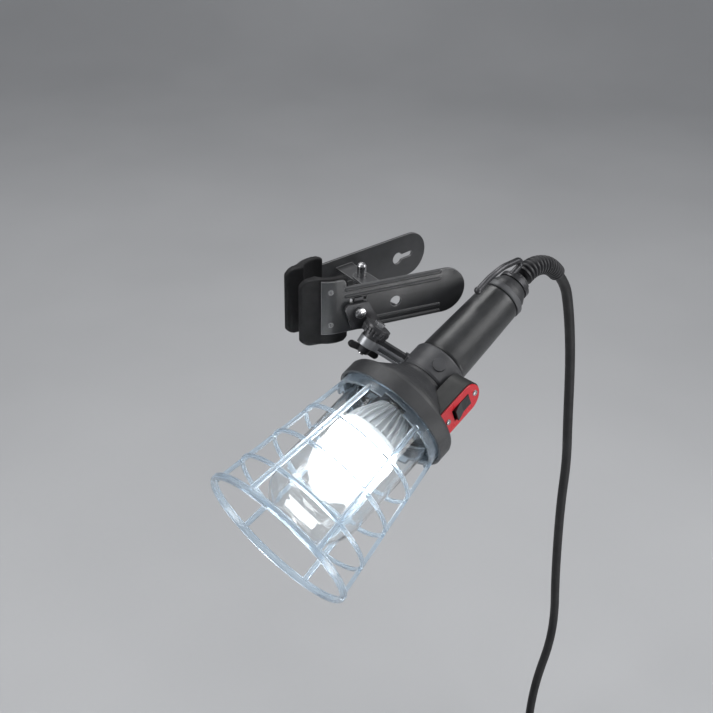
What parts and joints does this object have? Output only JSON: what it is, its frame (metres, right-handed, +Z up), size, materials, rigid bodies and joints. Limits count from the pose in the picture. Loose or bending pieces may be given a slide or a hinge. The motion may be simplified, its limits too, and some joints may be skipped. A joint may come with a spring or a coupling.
{
  "type": "clamp work light",
  "caption": "Caged hand lamp with LED bulb, rocker switch, grip, hanging hook and plug-in cord, carried by a swivel arm on a spring clamp that grips a stand pole.",
  "frame": {"origin": "On the axis of the pole that the jaws grip, at the jaws' middle height.", "axes": "+Z up along the pole, +X along the clamp's middle plane towards its squeeze handles, +Y towards the rear half clamp; the lamp hangs on the -Y side."},
  "size_m": [0.4506, 0.2272, 0.72],
  "materials": {
    "steel_black": "satin black paint",
    "bright_steel": "zinc plated",
    "dark_steel": "black oxide",
    "grey_metal": "satin grey",
    "pad_rubber": "matte",
    "grip_rubber": "satin",
    "black_plastic": "fine texture",
    "grey_plastic": "satin",
    "red_plastic": "satin red",
    "rocker_black": "gloss",
    "guard_clear": "clear bluish polycarbonate",
    "globe_clear": "clear polycarbonate",
    "bulb_white": "opal, lit",
    "heat_sink": "light grey",
    "bulb_cap": "nickel plated",
    "cord_rubber": "matte",
    "wire": "insulation",
    "plug_brass": "bright"
  },
  "bodies": {
    "front_clamp": {"front_clamp_plate": "steel_black", "front_jaw_pad": "pad_rubber", "front_pad_rivets": "dark_steel", "clamp_pivot_pin": "bright_steel", "clamp_pivot_clip": "bright_steel", "clamp_spring": "bright_steel", "spring_anchor": "bright_steel", "swivel_washer": "bright_steel", "swivel_bolt": "bright_steel", "swivel_nut": "bright_steel"},
    "rear_clamp": {"rear_clamp_plate": "steel_black", "rear_jaw_pad": "pad_rubber", "rear_pad_rivets": "dark_steel"},
    "swivel": {"swivel_bracket": "bright_steel", "bracket_toothed_disc": "dark_steel", "knuckle_bolt": "bright_steel"},
    "wing": {"wing_nut": "dark_steel"},
    "arm": {"arm_channel": "grey_metal", "arm_rail": "dark_steel", "arm_spacer_disc": "dark_steel", "neck_sleeve": "grey_plastic", "sleeve_grub_screw": "bright_steel"},
    "lamp": {"collar": "black_plastic", "guard": "guard_clear", "globe": "globe_clear", "globe_gasket": "pad_rubber", "bulb_diffuser": "bulb_white", "bulb_heat_sink": "heat_sink", "bulb_base": "bulb_cap", "lampholder": "black_plastic", "switch_housing": "black_plastic", "switch_bezel": "red_plastic", "bezel_screws": "bright_steel", "switch_body": "black_plastic", "core_tube": "grey_plastic", "grip": "grip_rubber", "end_ring": "grey_plastic", "end_cap": "black_plastic", "gland_nut": "black_plastic", "supply_wires": "wire", "terminal_block": "black_plastic", "strain_relief": "cord_rubber", "cord": "cord_rubber", "cord_coil": "cord_rubber", "cord_tail": "cord_rubber", "coil_tie": "black_plastic", "plug": "cord_rubber", "plug_blades": "plug_brass"},
    "rocker": {"switch_rocker": "rocker_black"},
    "hook": {"hanging_hook": "dark_steel"}
  },
  "joints": [
    {"name": "clamp_open", "type": "hinge", "parent": "front_clamp", "child": "rear_clamp", "pos_m": [0.036, 0, 0.001], "axis": [0, 0, -1], "range_deg": [0, 28], "stiffness_Nm_per_rad": 1.5, "springref_deg": -34.38, "deforming": ["clamp_spring"]},
    {"name": "arm_pan", "type": "hinge", "parent": "front_clamp", "child": "swivel", "pos_m": [0.01514, -0.02737, -0.0015], "axis": [-0.1392, -0.9903, 0], "range_deg": [-40, 40]},
    {"name": "arm_tilt", "type": "hinge", "parent": "swivel", "child": "arm", "pos_m": [0.01758, -0.04448, -0.0196], "axis": [0.577, -0.0811, 0.8127], "range_deg": [-25, 4]},
    {"name": "wing_turn", "type": "hinge", "parent": "swivel", "child": "wing", "pos_m": [0.01758, -0.04448, -0.0196], "axis": [0.577, -0.0811, 0.8127], "continuous": true},
    {"name": "lamp_roll", "type": "hinge", "parent": "arm", "child": "lamp", "pos_m": [0.0091, -0.0875, -0.0717], "axis": [0.8929, 0.2029, 0.4019], "range_deg": [-15, 70]},
    {"name": "switch_rock", "type": "hinge", "parent": "lamp", "child": "rocker", "pos_m": [0.05346, -0.11823, -0.05646], "axis": [0.388, 0.1061, -0.9155], "range_deg": [0, 16]},
    {"name": "hook_turn", "type": "hinge", "parent": "lamp", "child": "hook", "pos_m": [0.0091, -0.0875, -0.0717], "axis": [0.8929, 0.2029, 0.4019], "range_deg": [-10, 180]}
  ]
}
